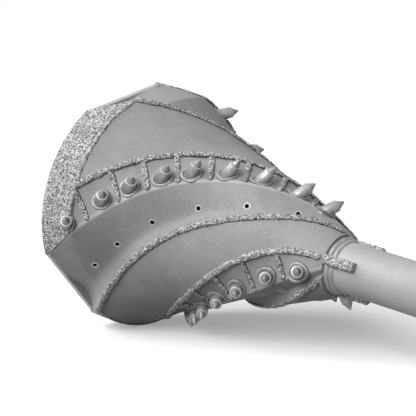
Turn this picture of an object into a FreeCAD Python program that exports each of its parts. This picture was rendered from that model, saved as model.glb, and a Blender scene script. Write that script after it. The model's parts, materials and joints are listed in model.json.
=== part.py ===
"""Button reamer for pulling a bored hole out to size.

A cast cone with three spiral lands and three flutes is fixed on a hollow drive shaft. Each land
carries nine steel teeth with hard conical tips, and is armoured with hardfacing weld. Six nozzles
in each flute spray the fluid that comes down the shaft. The reamer lies on its side, as it comes
to rest: on the armoured rim of one land and on the far end of its shaft.

The shaft's axis is modelled along +X, with station 0 at the back face of the cone. Angles are
counted about that axis from straight up, growing towards +Y. At the end the whole reamer is
tilted to lie on the floor, with the middle of the floor under it at the origin.
"""
import FreeCAD
import Part
import Sketcher
import math
import os
from FreeCAD import Placement, Rotation, Vector

doc = FreeCAD.newDocument("button_reamer")
sheet = doc.addObject("Spreadsheet::Sheet", "sizes")

# Driving sizes, in millimetres and degrees. A share is a part of the cone's length or of a width.
SIZES = [
    ("land_count", 3, "spiral lands round the cone"),
    ("gauge_diameter", 304.8, "size over the armoured rim"),
    ("gauge_armour", 3.0, "thickness of the hardfacing on the rim"),
    ("armour_seat", 0.05, "clearance between that and the rim"),
    ("armour_margin", 2.2, "how far it stays inside the long edges of the land"),
    ("gauge_length", 50.0, "length of the straight rim"),
    ("cone_length", 336.0, "from the back face to the nose"),
    ("cone_radius_third", 104.7, "land radius a third of the way down the cone"),
    ("cone_radius_two_thirds", 73.8, "land radius two thirds of the way down the cone"),
    ("nose_step", 6.5, "how far the lands stand above the shaft at the nose"),
    ("rest_flat", 0.12, "how deep the hardfacing is worn flat where the tool lies on it"),
    ("plate_thickness", 8.0, "back plate"),
    ("start_angle", -113.4, "tooth edge of the first land at the back face, from the top"),
    ("turn_quarter", 30.0, "how far the tooth edge has turned a quarter of the way forward"),
    ("turn_half", 65.2, "the same, half way"),
    ("turn_three_quarters", 98.2, "the same, three quarters of the way"),
    ("turn_nose", 143.0, "the same, at the nose"),
    ("strip_back", 11.2, "angle that the tooth strip covers at the back face"),
    ("strip_quarter", 24.1, "the same, a quarter of the way forward"),
    ("strip_half", 29.2, "the same, half way"),
    ("strip_three_quarters", 40.0, "the same, three quarters of the way"),
    ("strip_nose", 19.0, "the same, at the nose"),
    ("land_back", 74.7, "angle that the whole land covers at the back face"),
    ("land_quarter", 77.6, "the same, a quarter of the way forward"),
    ("land_half", 82.4, "the same, half way"),
    ("land_three_quarters", 82.0, "the same, three quarters of the way"),
    ("land_nose", 102.0, "the same, at the nose"),
    ("flute_back", 19.0, "depth of a flute under the land at the back face"),
    ("flute_third", 17.0, "the same, a third of the way forward"),
    ("flute_two_thirds", 12.0, "the same, two thirds of the way"),
    ("flute_nose", 4.5, "the same, at the nose"),
    ("flute_wall_place", 0.10, "share of a flute's width taken by the steep wall under the ridge"),
    ("flute_wall_depth", 0.60, "share of the depth reached there"),
    ("flute_bottom_place", 0.25, "share of the width at the deepest line"),
    ("nozzle_place", 0.45, "share of the width at the row of nozzles"),
    ("nozzle_depth", 0.90, "share of the depth there"),
    ("flute_rise_place", 0.72, "share of the width on the gentle side"),
    ("flute_rise_depth", 0.48, "share of the depth there"),
    ("shaft_radius", 29.0, "drive shaft"),
    ("shaft_length", 800.0, "from the back face of the cone to the shaft's far end"),
    ("shaft_chamfer", 2.5, "both ends of the shaft"),
    ("shaft_stub", 9.0, "how far the shaft stands out behind the back plate"),
    ("fluid_bore_radius", 16.0, "bore right through the shaft"),
    ("port_radius", 5.0, "cross holes that let fluid out of the shaft into the gallery"),
    ("port_count", 6, "cross holes round the shaft"),
    ("gallery_gap", 5.0, "fluid gallery round the shaft inside the cone, between shaft and wall"),
    ("gallery_margin", 9.0, "how far the gallery reaches past the first and last nozzles"),
    ("shank_radius", 7.0, "round steel shank of a tooth"),
    ("shank_seat", 12.0, "how deep a shank sits in its socket"),
    ("tooth_reach", 24.6, "from the land to the point of a tooth, along the tooth"),
    ("tooth_rake", 47.5, "angle between a tooth and the radius through its foot"),
    ("tooth_skew", 37.5, "how far that lean is turned from straight forward, along the turn"),
    ("tooth_place", 0.30, "share of the strip's width from its edge to the row of teeth"),
    ("tooth_place_last", 0.13, "the same, for the last tooth, where the strip narrows to the nose"),
    ("row_shift_b", 17.5, "how much further forward the second land's row starts"),
    ("row_spread_b", 14.0, "how much longer that row is"),
    ("row_shift_c", 8.0, "how much further forward the third land's row starts"),
    ("row_spread_c", 6.0, "how much longer that row is"),
    ("tip_shoulder", 1.4, "step from the shank in to the hard tip"),
    ("tip_point_radius", 1.5, "blunt point of the hard tip"),
    ("tip_height", 8.0, "hard tip above the shank"),
    ("stem_radius", 3.5, "stem of the hard tip, brazed into the shank"),
    ("stem_length", 6.0, "the same"),
    ("collar_foot", 4.5, "weld collar round a tooth: how far it spreads from the shank"),
    ("collar_lip", 1.2, "the same, at its top"),
    ("collar_height", 4.0, "the same, above the land"),
    ("collar_root", 3.0, "depth under the land that the spread is measured at"),
    ("nozzle_radius", 5.0, "outside of a nozzle"),
    ("nozzle_hole_radius", 2.4, "jet of a nozzle"),
    ("nozzle_length", 11.0, "the same, along the jet"),
    ("nozzle_recess", 0.8, "how far a nozzle's face lies below the floor of the flute"),
    ("feed_radius", 3.4, "drilling from the gallery to a nozzle"),
    ("bead_half_width", 3.8, "hardfacing bead along a land"),
    ("bead_height", 3.4, "the same"),
    ("bead_inset", 2.2, "how far the bead on the ridge lies inside the ridge"),
    ("bead_gap", 3.0, "how far the beads stop short of the nose"),
    ("divider_half_width", 3.0, "short bead between two teeth"),
    ("divider_height", 2.8, "the same"),
    ("divider_place", 0.36, "share of the strip's width where it lies midway between its teeth"),
    ("divider_slant_a", 22.0, "how much further forward it starts at the first land's tooth edge"),
    ("divider_slant_b", 22.0, "the same, on the second land"),
    ("divider_slant_c", 10.0, "the same, on the third land"),
    ("bar_length", 40.0, "hard-faced bar on the shaft in front of each land"),
    ("bar_width", 12.5, "the same"),
    ("bar_height", 8.0, "the same, above the shaft"),
    ("bar_round", 3.0, "the same, at its long edges"),
    ("nose_weld_length", 11.0, "weld between the nose and the shaft"),
    ("nose_weld_height", 2.2, "the same, above the shaft"),
    ("back_weld_leg", 7.0, "fillet weld between the back plate and the shaft"),
]
TOOTH_SHARES = [0.126, 0.231, 0.304, 0.390, 0.468, 0.567, 0.664, 0.779, 0.884]
NOZZLE_SHARES = [0.178, 0.268, 0.387, 0.532, 0.682, 0.838]
for number, share in enumerate(TOOTH_SHARES, 1):
    SIZES.append(("tooth_share_%d" % number, share, "foot of tooth %d on the first land" % number))
for number, share in enumerate(NOZZLE_SHARES, 1):
    SIZES.append(("nozzle_share_%d" % number, share, "nozzle %d in each flute" % number))
for row, (alias, value, note) in enumerate(SIZES, 1):
    sheet.set("A%d" % row, note)
    sheet.set("B%d" % row, str(value))
    sheet.setAlias("B%d" % row, alias)
doc.recompute()


def size(alias):
    """The value of one cell of the sheet."""
    return float(sheet.get(alias))


LANDS = int(size("land_count"))
SHARE = 360.0 / LANDS
TEETH = len(TOOTH_SHARES)
NOZZLES = len(NOZZLE_SHARES)
STEEL_RADIUS = size("gauge_diameter") / 2 - size("gauge_armour")
GAUGE_LENGTH = size("gauge_length")
NOSE = size("cone_length")
FORWARD = Vector(1, 0, 0)
UP = Vector(0, 0, 1)
START = Vector(0, 0, 0)
LETTERS = "abcdefgh"
nodes = {}


# Places and directions on the cone

def through(values, part):
    """The polynomial that takes these values at even steps, read at part, from 0 to 1."""
    steps = len(values) - 1
    total = 0.0
    for here, value in enumerate(values):
        for other in range(len(values)):
            if other != here:
                value *= (part * steps - other) / (here - other)
        total += value
    return total


def along(prefix, station):
    """An angle that is given at five places down the cone, read at a station."""
    stages = ("back", "quarter", "half", "three_quarters", "nose")
    return through([size("%s_%s" % (prefix, stage)) for stage in stages], station / NOSE)


def land_radius(station):
    """Radius of the steel land: straight over the rim, then down the cone to the nose."""
    if station <= GAUGE_LENGTH:
        return STEEL_RADIUS
    radii = [STEEL_RADIUS, size("cone_radius_third"), size("cone_radius_two_thirds"),
             size("shaft_radius") + size("nose_step")]
    return through(radii, (station - GAUGE_LENGTH) / (NOSE - GAUGE_LENGTH))


def tooth_edge(station, land):
    """Angle of the edge that the tooth strip shares with the flute before it."""
    turns = [0.0] + [size("turn_" + stage) for stage in ("quarter", "half", "three_quarters", "nose")]
    return size("start_angle") + land * SHARE + through(turns, station / NOSE)


def mid_line(station, land):
    """Angle of the line between the tooth strip and the round back of the land."""
    return tooth_edge(station, land) + along("strip", station)


def ridge(station, land):
    """Angle of the far edge of the land, where the next flute starts."""
    return tooth_edge(station, land) + along("land", station)


def flute_depth(station):
    """Depth of the flutes under the lands."""
    stages = ("back", "third", "two_thirds", "nose")
    return through([size("flute_" + stage) for stage in stages], station / NOSE)


def outward(angle):
    """Unit vector from the axis at an angle from the top."""
    return Vector(0, math.sin(math.radians(angle)), math.cos(math.radians(angle)))


def sideways(angle):
    """Unit vector round the axis, the way the angles grow."""
    return Vector(0, math.cos(math.radians(angle)), -math.sin(math.radians(angle)))


def at(station, radius, angle):
    """The point at a station, a radius and an angle."""
    return FORWARD * station + outward(angle) * radius


def face_normal(station, angle):
    """Unit vector square to the land's surface."""
    slope = land_radius(station + 1) - land_radius(station)
    return (outward(angle) - FORWARD * slope).normalize()


def on_strip(station, land, part):
    """Point of the tooth strip, which is flat across, at a part of its width from its edge."""
    edge = at(station, land_radius(station), tooth_edge(station, land))
    middle = at(station, land_radius(station), mid_line(station, land))
    return edge + (middle - edge) * part


def even_steps(first, last, count):
    """Evenly spaced values from first to last."""
    return [first + (last - first) * step / (count - 1) for step in range(count)]


# Ways to make and join solids

def curve_through(points):
    """A smooth edge through points."""
    curve = Part.BSplineCurve()
    curve.interpolate(points)
    return curve.toShape()


def bar(name, radius, length, start, direction):
    """A round bar from a point along a direction. Radius and length are sheet expressions.

    With no length, the caller sets the bar's height from the place that it has to reach."""
    made = doc.addObject("Part::Cylinder", name)
    made.setExpression("Radius", radius)
    if length:
        made.setExpression("Height", length)
    made.Placement = Placement(start, Rotation(UP, direction))
    return made


def taper(name, foot_radius, top_radius, height, start, direction):
    """A cone, cut off at the top, from a point along a direction."""
    made = doc.addObject("Part::Cone", name)
    made.setExpression("Radius1", foot_radius)
    made.setExpression("Radius2", top_radius)
    made.setExpression("Height", height)
    made.Placement = Placement(start, Rotation(UP, direction))
    return made


def fuse(name, members):
    made = doc.addObject("Part::MultiFuse", name)
    made.Shapes = members
    return made


def together(name, members):
    """Several solids kept apart in one node."""
    made = doc.addObject("Part::Compound", name)
    made.Links = members
    return made


def cut(name, base, tool):
    made = doc.addObject("Part::Cut", name)
    made.Base = base
    made.Tool = tool
    return made


def feature(name, shape):
    """A solid whose shape is worked out here, from the sheet's sizes."""
    made = doc.addObject("Part::Feature", name)
    made.Shape = shape
    return made


def turned(name, corners):
    """A body turned about the axis. Each corner is a pair of sheet expressions, station and radius."""
    body = doc.addObject("PartDesign::Body", name)
    sketch = body.newObject("Sketcher::SketchObject", name + "_outline")
    plane = [part for part in body.Origin.OriginFeatures if part.Role == "XY_Plane"][0]
    sketch.AttachmentSupport = [(plane, "")]
    sketch.MapMode = "FlatFace"
    values = [[float(sheet.evalExpression(text.replace("sizes.", ""))) for text in pair]
              for pair in corners]
    following = values[1:] + values[:1]
    for here, there in zip(values, following):
        sketch.addGeometry(Part.LineSegment(Vector(here[0], here[1], 0), Vector(there[0], there[1], 0)))
    for here in range(len(corners)):
        sketch.addConstraint(Sketcher.Constraint("Coincident", here, 2, (here + 1) % len(corners), 1))
    for here, pair in enumerate(corners):
        for kind, value, text in zip(("DistanceX", "DistanceY"), values[here], pair):
            index = sketch.addConstraint(Sketcher.Constraint(kind, -1, 1, here, 1, value))
            sketch.setExpression("Constraints[%d]" % index, text)
    spin = body.newObject("PartDesign::Revolution", name + "_turned")
    spin.Profile = sketch
    spin.ReferenceAxis = (sketch, ["H_Axis"])
    spin.Angle = 360.0
    body.Tip = spin
    return body


# Fluted cone before drilling: the straight rim, where the lands are round all over, and the
# tapering cone, where the tooth strips are flat
FLUTE_SHAPE = [(0.0, 0.0), (size("flute_wall_place"), size("flute_wall_depth")),
               (size("flute_bottom_place"), 1.0), (size("nozzle_place"), size("nozzle_depth")),
               (size("flute_rise_place"), size("flute_rise_depth")), (1.0, 0.0)]
RIM_OUTLINES = 4
CONE_OUTLINES = 13


def arc(station, radius, first, last):
    """A round edge about the axis, between two angles."""
    middle = (first + last) / 2
    return Part.Arc(*[at(station, radius, angle) for angle in (first, middle, last)]).toShape()


def flute_edge(station, land):
    """The floor of the flute that follows a land."""
    radius, depth = land_radius(station), flute_depth(station)
    start = ridge(station, land)
    gap = tooth_edge(station, land + 1) - start
    return curve_through([at(station, radius - depth * down, start + gap * place)
                          for place, down in FLUTE_SHAPE])


def rim_outline(station):
    """For each land its round outside and its flute."""
    edges = []
    for land in range(LANDS):
        edges.append(arc(station, STEEL_RADIUS, tooth_edge(station, land), ridge(station, land)))
        edges.append(flute_edge(station, land))
    return Part.Wire(edges)


def cone_outline(station):
    """For each land its flat strip, its round back and its flute."""
    edges = []
    for land in range(LANDS):
        edges.append(Part.makeLine(on_strip(station, land, 0), on_strip(station, land, 1)))
        edges.append(arc(station, land_radius(station), mid_line(station, land), ridge(station, land)))
        edges.append(flute_edge(station, land))
    return Part.Wire(edges)


rim_stations = even_steps(size("plate_thickness"), GAUGE_LENGTH, RIM_OUTLINES)
cone_stations = even_steps(GAUGE_LENGTH, NOSE, CONE_OUTLINES)
rim_part = Part.makeLoft([rim_outline(station) for station in rim_stations], True)
cone_part = Part.makeLoft([cone_outline(station) for station in cone_stations], True)
blank = feature("fluted_blank", rim_part.fuse(cone_part))

# Back plate: a flat disc with a straight side across each flute
disc = bar("disc", "sizes.gauge_diameter / 2 - sizes.gauge_armour", "sizes.plate_thickness",
           START, FORWARD)
plate_trims = [bar("disc_bore", "sizes.shaft_radius", "sizes.plate_thickness", START, FORWARD)]
half_gap = (SHARE - size("land_back")) / 2
for land in range(LANDS):
    angle = ridge(0, land) + half_gap
    distance = STEEL_RADIUS * math.cos(math.radians(half_gap))
    side = doc.addObject("Part::Box", "disc_side_" + LETTERS[land])
    side.setExpression("Length", "sizes.plate_thickness")
    side.setExpression("Width", "sizes.gauge_diameter")
    side.setExpression("Height", "sizes.gauge_diameter")
    corner = outward(angle) * distance - sideways(angle) * size("gauge_diameter") / 2
    side.Placement = Placement(corner, Rotation(FORWARD, -angle))
    plate_trims.append(side)
nodes["back_plate"] = cut("plate", disc, fuse("plate_trims", plate_trims))

# Teeth: a steel shank in a drilled socket, a hard tip brazed on it and a weld collar round it
solid_shaft = bar("solid_shaft", "sizes.shaft_radius", "sizes.shaft_length", START, FORWARD)


def row_station(land, number):
    """Station of a tooth's foot. The rows of the lands are shifted, so that their cuts overlap."""
    station = size("tooth_share_%d" % number) * NOSE
    if LETTERS[land] in "bc":
        shift, spread = size("row_shift_" + LETTERS[land]), size("row_spread_" + LETTERS[land])
        station += shift + spread * (number - 1) / (TEETH - 1)
    return station


sockets = []
standing = {}
for land in range(LANDS):
    letter = LETTERS[land]
    tips, collars, shanks = [], [], []
    for number in range(1, TEETH + 1):
        tag = "%s_%d" % (letter, number)
        station = row_station(land, number)
        place = size("tooth_place_last") if number == TEETH else size("tooth_place")
        angle = tooth_edge(station, land) + along("strip", station) * place
        foot = on_strip(station, land, place)
        normal = face_normal(station, angle)
        rake, skew = math.radians(size("tooth_rake")), math.radians(size("tooth_skew"))
        lean = FORWARD * math.cos(skew) + sideways(angle) * math.sin(skew)
        pointing = outward(angle) * math.cos(rake) + lean * math.sin(rake)
        bottom = foot - pointing * size("shank_seat")
        top = foot + pointing * (size("tooth_reach") - size("tip_height"))
        stem_bottom = top - pointing * size("stem_length")
        shank = bar("shank_" + tag, "sizes.shank_radius",
                    "sizes.shank_seat + sizes.tooth_reach - sizes.tip_height", bottom, pointing)
        hole = bar("stem_hole_" + tag, "sizes.stem_radius", "sizes.stem_length", stem_bottom, pointing)
        shank_cuts = together("shank_cuts_" + tag, [hole, solid_shaft])
        nodes["tooth_" + tag] = cut("shank_trimmed_" + tag, shank, shank_cuts)
        sockets.append(bar("socket_" + tag, "sizes.shank_radius", "sizes.shank_seat + sizes.tooth_reach",
                           bottom, pointing))
        point = taper("point_" + tag, "sizes.shank_radius - sizes.tip_shoulder", "sizes.tip_point_radius",
                      "sizes.tip_height", top, pointing)
        stem = bar("stem_" + tag, "sizes.stem_radius", "sizes.stem_length", stem_bottom, pointing)
        tips.append(fuse("tip_" + tag, [point, stem]))
        collar = taper("collar_" + tag, "sizes.shank_radius + sizes.collar_foot",
                       "sizes.shank_radius + sizes.collar_lip", "sizes.collar_root + sizes.collar_height",
                       foot - normal * size("collar_root"), normal)
        collars.append(collar)
        shanks.append(shank)
    standing[land] = shanks + collars
    nodes["hard_tips_" + letter] = together("tips_" + letter, tips)
    proud = cut("collars_proud_" + letter, together("collars_" + letter, collars), blank)
    nodes["weld_collars_" + letter] = cut("collar_rings_" + letter, proud,
                                          together("shanks_" + letter, shanks))

# Nozzles in the floor of each flute, and the drillings that feed them
drillings = []
for land in range(LANDS):
    letter = LETTERS[land]
    inserts = []
    for number in range(1, NOZZLES + 1):
        tag = "%s_%d" % (letter, number)
        station = size("nozzle_share_%d" % number) * NOSE
        angle = ridge(station, land) + (SHARE - along("land", station)) * size("nozzle_place")
        floor = land_radius(station) - flute_depth(station) * size("nozzle_depth")
        jet_way = face_normal(station, angle)
        seat = at(station, floor, angle) - jet_way * (size("nozzle_recess") + size("nozzle_length"))
        outside = bar("nozzle_bar_" + tag, "sizes.nozzle_radius", "sizes.nozzle_length", seat, jet_way)
        jet = bar("jet_" + tag, "sizes.nozzle_hole_radius", "sizes.nozzle_length", seat, jet_way)
        inserts.append(cut("nozzle_" + tag, outside, jet))
        drillings.append(bar("nozzle_seat_" + tag, "sizes.nozzle_radius",
                             "sizes.nozzle_length + sizes.flute_back", seat, jet_way))
        feed = bar("feed_" + tag, "sizes.feed_radius", None, FORWARD * seat.x, outward(angle))
        feed.Height = seat.dot(outward(angle))
        drillings.append(feed)
    nodes["nozzles_" + letter] = together("nozzles_" + letter, inserts)

# Cast cone: the blank with its bore, its gallery, the sockets and the drillings
bore = bar("bore", "sizes.shaft_radius", "sizes.cone_length", START, FORWARD)
gallery_start = size("nozzle_share_1") * NOSE - size("gallery_margin")
gallery_end = size("nozzle_share_%d" % NOZZLES) * NOSE + size("gallery_margin")
gallery = bar("gallery", "sizes.shaft_radius + sizes.gallery_gap",
              "(sizes.nozzle_share_%d - sizes.nozzle_share_1) * sizes.cone_length + 2 * sizes.gallery_margin"
              % NOZZLES, FORWARD * gallery_start, FORWARD)
nodes["reamer_cone"] = cut("cone", blank, fuse("hollow", [bore, gallery] + drillings + sockets))

# Drive shaft: a thick tube, chamfered at both ends, with cross holes into the gallery
tube = turned("shaft_tube", [
    ("-sizes.shaft_stub", "sizes.fluid_bore_radius"),
    ("-sizes.shaft_stub", "sizes.shaft_radius - sizes.shaft_chamfer"),
    ("-sizes.shaft_stub + sizes.shaft_chamfer", "sizes.shaft_radius"),
    ("sizes.shaft_length - sizes.shaft_chamfer", "sizes.shaft_radius"),
    ("sizes.shaft_length", "sizes.shaft_radius - sizes.shaft_chamfer"),
    ("sizes.shaft_length", "sizes.fluid_bore_radius"),
])
PORTS = int(size("port_count"))
ports = [bar("port_%d" % number, "sizes.port_radius", "sizes.shaft_radius + sizes.gallery_gap",
             FORWARD * (gallery_start + gallery_end) / 2, outward(number * 360 / PORTS))
         for number in range(PORTS)]
nodes["drive_shaft"] = cut("shaft", tube, fuse("ports", ports))

# Hard-faced bars on the shaft, one in front of each land
blocks = []
for land in range(LANDS):
    letter = LETTERS[land]
    angle = mid_line(NOSE, land)
    block = doc.addObject("Part::Box", "bar_block_" + letter)
    block.setExpression("Length", "sizes.bar_length")
    block.setExpression("Width", "sizes.bar_width")
    block.setExpression("Height", "sizes.shaft_radius + sizes.bar_height")
    block.Placement = Placement(FORWARD * NOSE - sideways(angle) * size("bar_width") / 2,
                                Rotation(FORWARD, -angle))
    doc.recompute()
    top = size("shaft_radius") + size("bar_height")
    long_edges = [number for number, edge in enumerate(block.Shape.Edges, 1)
                  if abs(edge.tangentAt(edge.FirstParameter).dot(FORWARD)) > 0.99
                  and edge.CenterOfMass.dot(outward(angle)) > 0.99 * top]
    rounded = doc.addObject("Part::Fillet", "bar_rounded_" + letter)
    rounded.Base = block
    rounded.Edges = [(number, size("bar_round"), size("bar_round")) for number in long_edges]
    blocks.append(rounded)
    nodes["nose_bar_" + letter] = cut("bar_" + letter, rounded, solid_shaft)

# Weld round the shaft: at the nose, between the bars, and behind the back plate
nose_ring = turned("nose_ring", [
    ("sizes.cone_length", "sizes.shaft_radius"),
    ("sizes.cone_length", "sizes.shaft_radius + sizes.nose_weld_height"),
    ("sizes.cone_length + sizes.nose_weld_length / 2", "sizes.shaft_radius + sizes.nose_weld_height"),
    ("sizes.cone_length + sizes.nose_weld_length", "sizes.shaft_radius"),
])
nodes["nose_weld"] = cut("nose_weld_runs", nose_ring, together("bars", blocks))
nodes["back_weld"] = turned("back_ring", [
    ("0", "sizes.shaft_radius"),
    ("0", "sizes.shaft_radius + sizes.back_weld_leg"),
    ("-sizes.back_weld_leg", "sizes.shaft_radius"),
])
doc.recompute()

# Hardfacing: a crushed-carbide weld on the rim of each land, and beads along its ridge and strip
HALF_RING = 5
BEAD_STEPS = 12
DIVIDER_STEPS = 4


def bead(path, half_width, height):
    """A weld bead with an oval section, along a path of pairs, point and face normal."""
    rings = []
    for here, (point, normal) in enumerate(path):
        before, after = path[max(here - 1, 0)][0], path[min(here + 1, len(path) - 1)][0]
        ahead = (after - before).normalize()
        across = ahead.cross(normal).normalize()
        up = across.cross(ahead).normalize()
        halves = []
        for side in (0, 1):
            turns = [math.pi * (side + part) for part in even_steps(0, 1, HALF_RING)]
            halves.append(curve_through([point + across * (half_width * math.cos(turn))
                                         + up * (height * math.sin(turn)) for turn in turns]))
        rings.append(Part.Wire(halves))
    return Part.makeLoft(rings, True)


def on_land(station, angle):
    """Point and face normal of the round back of a land."""
    return at(station, land_radius(station), angle), face_normal(station, angle)


def on_each_land(shape):
    """Copies of a solid of the first land, one for each land."""
    copies = []
    for land in range(LANDS):
        copies.append(shape.copy())
        copies[-1].rotate(START, FORWARD, -land * SHARE)
    return copies


# The floor, tilted until the worn rim and the shaft's far end both touch it
rest_radius = size("gauge_diameter") / 2 - size("rest_flat")
run = size("shaft_length") - size("shaft_chamfer") - GAUGE_LENGTH
tilt = math.atan2(rest_radius - size("shaft_radius"), run)
turn = Rotation(Vector(0, 1, 0), math.degrees(tilt))
floor_height = -GAUGE_LENGTH * math.sin(tilt) - rest_radius * math.cos(tilt)
FLOOR_SIZE = size("shaft_length") * 2
under_floor = Part.makeBox(FLOOR_SIZE, FLOOR_SIZE, FLOOR_SIZE,
                           Vector(-FLOOR_SIZE / 2, -FLOOR_SIZE / 2, floor_height - FLOOR_SIZE))
under_floor.rotate(START, Vector(0, 1, 0), -math.degrees(tilt))

armour_sectors = []
margin = math.degrees(size("armour_margin") / STEEL_RADIUS)
for station in even_steps(0, GAUGE_LENGTH, RIM_OUTLINES):
    first, last = tooth_edge(station, 0) + margin, ridge(station, 0) - margin
    inside, outside = STEEL_RADIUS / 2, STEEL_RADIUS * 2
    armour_sectors.append(Part.Wire([
        arc(station, outside, first, last),
        Part.makeLine(at(station, outside, last), at(station, inside, last)),
        arc(station, inside, last, first),
        Part.makeLine(at(station, inside, first), at(station, outside, first))]))
armour_inside = Part.makeCylinder(STEEL_RADIUS + size("armour_seat"), GAUGE_LENGTH, START, FORWARD)
armour_outside = Part.makeCylinder(size("gauge_diameter") / 2, GAUGE_LENGTH, START, FORWARD)
armour = Part.makeLoft(armour_sectors, True).common(armour_outside).cut(armour_inside)
teeth = {land: [piece.Shape for piece in pieces] for land, pieces in standing.items()}
for land, shape in enumerate(on_each_land(armour)):
    worn = shape.cut(teeth[land]).cut(under_floor)
    nodes["rim_armour_" + LETTERS[land]] = feature("armour_" + LETTERS[land], worn)

rim_zone = Part.makeCylinder(size("gauge_diameter"), GAUGE_LENGTH, START, FORWARD)
stops = even_steps(GAUGE_LENGTH - size("bead_half_width"), NOSE - size("bead_gap"), BEAD_STEPS)
ridge_path = []
for station in stops:
    inset = math.degrees(size("bead_inset") / land_radius(station))
    ridge_path.append(on_land(station, ridge(station, 0) - inset))
ridge_bead = bead(ridge_path, size("bead_half_width"), size("bead_height")).cut([blank.Shape, rim_zone])
for land, shape in enumerate(on_each_land(ridge_bead)):
    nodes["ridge_bead_" + LETTERS[land]] = feature("ridge_run_" + LETTERS[land], shape)

strip_path = [on_land(station, mid_line(station, 0)) for station in stops]
whole_bead = bead(strip_path, size("bead_half_width"), size("bead_height"))
strip_beads = on_each_land(whole_bead.cut([blank.Shape, rim_zone]))
for land, shape in enumerate(on_each_land(whole_bead)):
    beads = strip_beads[land].cut(teeth[land]).Solids
    for number in range(1, TEETH):
        between = (row_station(land, number) + row_station(land, number + 1)) / 2
        path = []
        for part in even_steps(0, 1, DIVIDER_STEPS):
            station = between + size("divider_slant_" + LETTERS[land]) * (size("divider_place") - part)
            angle = tooth_edge(station, land) + part * along("strip", station)
            path.append((on_strip(station, land, part), face_normal(station, angle)))
        divider = bead(path, size("divider_half_width"), size("divider_height"))
        beads += divider.cut([blank.Shape, rim_zone]).cut(shape).Solids
    nodes["strip_bead_" + LETTERS[land]] = feature("strip_run_" + LETTERS[land], Part.makeCompound(beads))

# Resting place, with the middle of the floor area under the tool at the origin
LOOK_TOLERANCE = 0.3
corners = []
for node in nodes.values():
    corners += [turn.multVec(point) for point in node.Shape.tessellate(LOOK_TOLERANCE)[0]]
middle_x = (min(point.x for point in corners) + max(point.x for point in corners)) / 2
middle_y = (min(point.y for point in corners) + max(point.y for point in corners)) / 2
lying = Placement(Vector(-middle_x, -middle_y, -floor_height), turn)
for name, node in nodes.items():
    node.Label = name
    node.Placement = lying.multiply(node.Placement)

# Checks, then one file for each piece
for item in doc.Objects:
    if "Invalid" in item.State or "Error" in item.State:
        raise RuntimeError("%s could not be made" % item.Label)
os.makedirs("parts", exist_ok=True)
for name, node in nodes.items():
    if node.Shape.isNull() or not node.Shape.isValid():
        raise RuntimeError("%s has no valid shape" % name)
    node.Shape.exportStep("parts/%s.step" % name)
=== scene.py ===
import itertools
import json
import math
import bpy
import numpy as np
from mathutils import Matrix, Vector


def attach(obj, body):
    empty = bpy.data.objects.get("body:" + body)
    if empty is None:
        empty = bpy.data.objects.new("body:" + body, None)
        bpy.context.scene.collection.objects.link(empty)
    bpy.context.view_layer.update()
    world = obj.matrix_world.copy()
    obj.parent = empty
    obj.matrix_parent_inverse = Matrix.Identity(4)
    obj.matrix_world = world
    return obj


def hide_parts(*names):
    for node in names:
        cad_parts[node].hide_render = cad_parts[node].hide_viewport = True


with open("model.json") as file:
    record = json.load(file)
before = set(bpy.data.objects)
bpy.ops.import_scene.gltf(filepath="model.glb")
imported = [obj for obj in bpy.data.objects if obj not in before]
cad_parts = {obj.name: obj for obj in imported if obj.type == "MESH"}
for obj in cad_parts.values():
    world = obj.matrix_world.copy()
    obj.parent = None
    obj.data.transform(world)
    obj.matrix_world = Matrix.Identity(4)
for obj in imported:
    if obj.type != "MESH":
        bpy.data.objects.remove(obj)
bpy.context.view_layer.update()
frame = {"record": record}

# Where the tool lies. It rests on its armoured rim and on the far end of its shaft. The shaft's bore
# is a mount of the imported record: its place is the middle of the far end, and its axis points out
# there. Sizes are in millimetres and degrees; stations run from the cone's back face to that end.
MM = 0.001
SHAFT_LENGTH = 800.0
bore_mount = [mount for mount in frame["record"]["mounts"] if mount["name"] == "shaft_bore"][0]
far_end = np.array(bore_mount["pos_m"])
forward = np.array(bore_mount["axis"]) / np.linalg.norm(bore_mount["axis"])
side = np.array([0.0, 1.0, 0.0])
up = np.cross(forward, side)


def lay_down(points):
    """Metres in the frame, from millimetres along the shaft, to its side and up from it."""
    points = np.asarray(points, float)
    along = (points[..., :1] - SHAFT_LENGTH) * forward
    return far_end + MM * (along + points[..., 1:2] * side + points[..., 2:3] * up)


# The camera looks down the flutes from in front of the nose and a little above, through a long
# lens. Its place, counted from the shaft's far end, and its turn come from a fit of the tool's
# outline to the photograph.
CAMERA_FROM_END = (0.5147, -1.2707, 0.2906)
CAMERA_TURN, CAMERA_DIP, CAMERA_ROLL = 42.742, 5.392, -0.19
LENS, SENSOR_WIDTH = 124.54, 36.0
camera = bpy.data.objects.new("camera", bpy.data.cameras.new("camera"))
bpy.context.scene.collection.objects.link(camera)
camera.data.sensor_width = SENSOR_WIDTH
camera.data.lens = LENS
camera.location = far_end + CAMERA_FROM_END
turn = Matrix.Rotation(math.radians(CAMERA_TURN), 4, "Z")
dip = Matrix.Rotation(math.radians(90 - CAMERA_DIP), 4, "X")
roll = Matrix.Rotation(math.radians(CAMERA_ROLL), 4, "Z")
camera.rotation_euler = (turn @ dip @ roll).to_euler()
bpy.context.scene.camera = camera

# The studio: a plain pale floor that runs out of sight, two broad soft lights in front, one of them
# high on the left, wide light from above that throws the near shadow, and a weak sky. Floor and sky
# look like white paper, also in the steel, but the soft light that they give is a darker room's.
FLOOR_SIZE = 60.0
# The floor's seen colour is above 1, because the lamps strike it aslant. The glow is a share of
# light of its own, which keeps the far floor white.
FLOOR_SEEN, FLOOR_FELT = (1.35, 1.35, 1.35, 1), (0.10, 0.10, 0.10, 1)
PAPER_GLOW = 0.3
SKY_LIGHT = 0.03
WHITE = (1, 1, 1, 1)


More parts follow.
